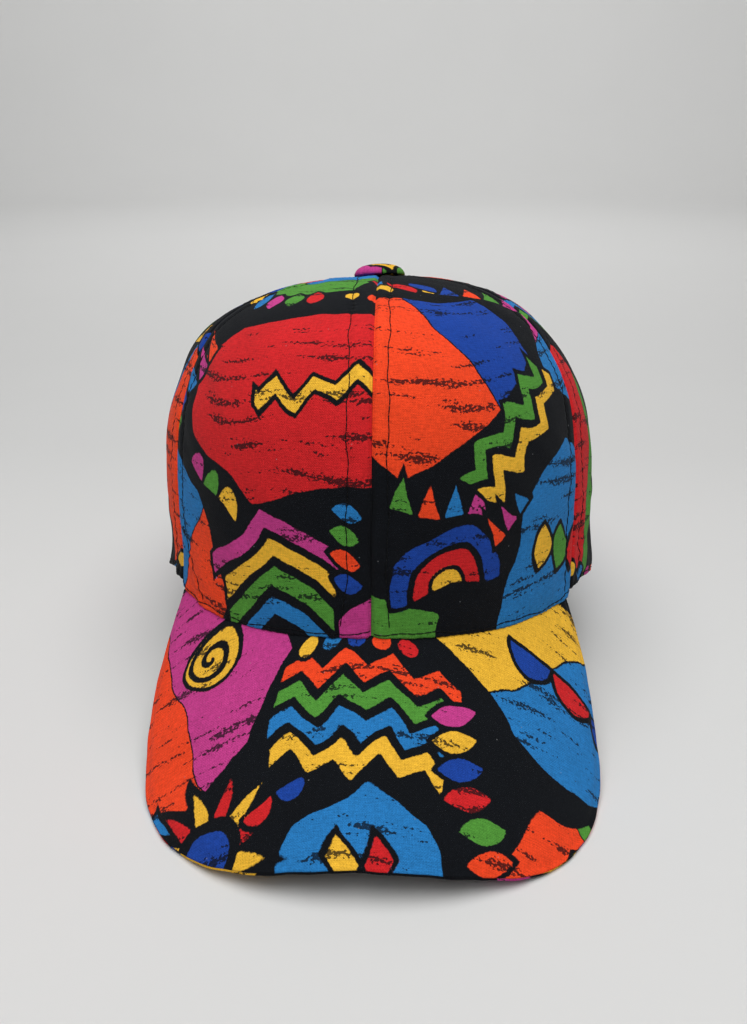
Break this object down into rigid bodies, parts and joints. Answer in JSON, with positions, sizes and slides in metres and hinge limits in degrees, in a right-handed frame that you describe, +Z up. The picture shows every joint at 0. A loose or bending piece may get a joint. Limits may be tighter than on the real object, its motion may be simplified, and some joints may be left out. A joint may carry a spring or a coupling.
{
  "type": "six-panel peaked cap",
  "caption": "Peaked cap of printed cotton: a crown of sewn gores with a covered button and an arched, cloth-covered peak, lying on its peak's corners and the back of its rim.",
  "frame": {"origin": "on the surface that the cap lies on, under the middle of its box", "axes": "+Z up from the surface; the peak points to -Y and the back of the rim to +Y; +X to the right as seen from the front"},
  "size_m": [0.1788, 0.2666, 0.1514],
  "materials": {
    "printed_cotton_crown": "plain-woven cotton printed in bright colours on near-black, matt",
    "printed_cotton_button": "the same printed cotton drawn over a button, matt",
    "printed_cotton_peak": "the same printed cotton drawn smooth over a stiff peak, matt"
  },
  "bodies": {
    "root": {"panel_front_left": "printed_cotton_crown", "panel_front_right": "printed_cotton_crown", "panel_side_left": "printed_cotton_crown", "panel_side_right": "printed_cotton_crown", "panel_back_left": "printed_cotton_crown", "panel_back_right": "printed_cotton_crown", "button": "printed_cotton_button", "peak": "printed_cotton_peak"}
  },
  "joints": []
}
